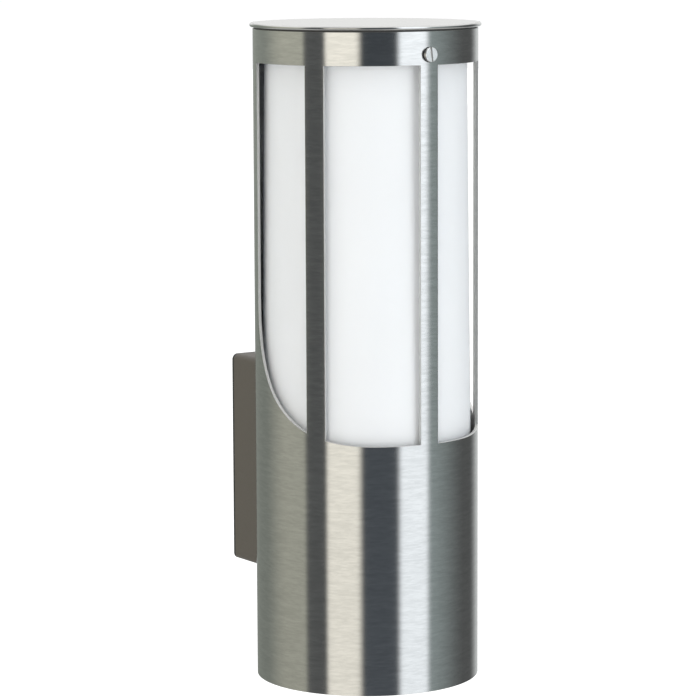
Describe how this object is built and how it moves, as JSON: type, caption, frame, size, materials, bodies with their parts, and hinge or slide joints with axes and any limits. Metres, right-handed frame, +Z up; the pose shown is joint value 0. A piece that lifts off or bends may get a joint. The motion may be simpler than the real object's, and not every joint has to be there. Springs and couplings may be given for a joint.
{
  "type": "tube wall light",
  "caption": "Upright brushed steel tube wall light with cut windows over an opal diffuser, a lift-off lid held by a slotted screw, a screw-in bulb and a cast wall box behind.",
  "frame": {"origin": "on the wall, at the middle of the wall box's outline", "axes": "+Z up along the tube, +Y into the wall, +X to the right for someone who faces the wall"},
  "size_m": [0.113, 0.137, 0.3228],
  "materials": {
    "brushed_tube": "brushed round the tube, satin",
    "lid_steel": "fine satin",
    "screw_steel": "turned, plain",
    "zinc_sheet": "zinc plated, dull",
    "black_seal": "matt black",
    "grey_silicone": "matt translucent grey",
    "opal": "opal white, satin, even",
    "porcelain": "glazed white porcelain",
    "brass_sheet": "plain",
    "tinned_brass": "tinned, dull",
    "bulb_frost": "frosted white",
    "bulb_white": "smooth white",
    "board_aluminium": "dull, white lacquer on the upper face",
    "cap_nickel": "nickel plated",
    "black_insulator": "black glass-like",
    "black_cap": "matt black",
    "grey_paint": "warm grey powder coat, fine texture",
    "block_white": "off-white moulding",
    "brown_insulation": "smooth sleeve",
    "blue_insulation": "smooth sleeve",
    "green_yellow_insulation": "green with a yellow stripe"
  },
  "bodies": {
    "light": {"tube_body": "brushed_tube", "lid_screw_washer": "black_seal", "diffuser_gasket": "grey_silicone", "gear_bracket": "zinc_sheet", "lampholder_body": "porcelain", "lampholder_shell": "brass_sheet", "lampholder_centre_contact": "brass_sheet", "lampholder_terminals": "brass_sheet", "lampholder_terminal_screws": "screw_steel", "lampholder_screws": "screw_steel", "bottom_cap": "black_cap", "wall_box": "grey_paint", "box_gasket": "black_seal", "wall_gasket": "black_seal", "tube_screws": "screw_steel", "tube_washers": "screw_steel", "box_screws": "screw_steel", "wall_plate": "zinc_sheet", "cable_grommet": "black_seal", "terminal_block": "block_white", "terminal_clamps": "brass_sheet", "terminal_clamp_screws": "screw_steel", "terminal_block_screws": "screw_steel", "lead_bush": "black_seal", "live_lead": "brown_insulation", "neutral_lead": "blue_insulation", "earth_lead": "green_yellow_insulation", "earth_tag": "tinned_brass", "earth_screw": "screw_steel", "earth_nut": "screw_steel"},
    "lid": {"top_lid": "lid_steel", "lid_gasket": "grey_silicone", "lid_spigot": "lid_steel", "lid_pad": "grey_silicone"},
    "diffuser": {"opal_diffuser": "opal"},
    "bulb": {"bulb_dome": "bulb_frost", "bulb_body": "bulb_white", "bulb_board": "board_aluminium", "bulb_cap": "cap_nickel", "bulb_insulator": "black_insulator", "bulb_contact": "brass_sheet"},
    "lid screw": {"lid_screw": "screw_steel"}
  },
  "joints": [
    {"name": "lid_lift", "type": "slide", "parent": "light", "child": "lid", "axis": [0, 0, 1], "range_m": [0, 0.25]},
    {"name": "diffuser_lift", "type": "slide", "parent": "light", "child": "diffuser", "axis": [0, 0, 1], "range_m": [0, 0.215]},
    {"name": "bulb_turn", "type": "hinge", "parent": "light", "child": "bulb", "pos_m": [0, -0.08, 0.05], "axis": [0, 0, 1], "continuous": true},
    {"name": "lid_screw_turn", "type": "hinge", "parent": "light", "child": "lid screw", "pos_m": [0, -0.1358, 0.209], "axis": [0, -1, 0], "continuous": true}
  ],
  "couplings": [
    {"joint": "diffuser_lift", "follows": "lid_lift", "ratio": 0.86}
  ]
}
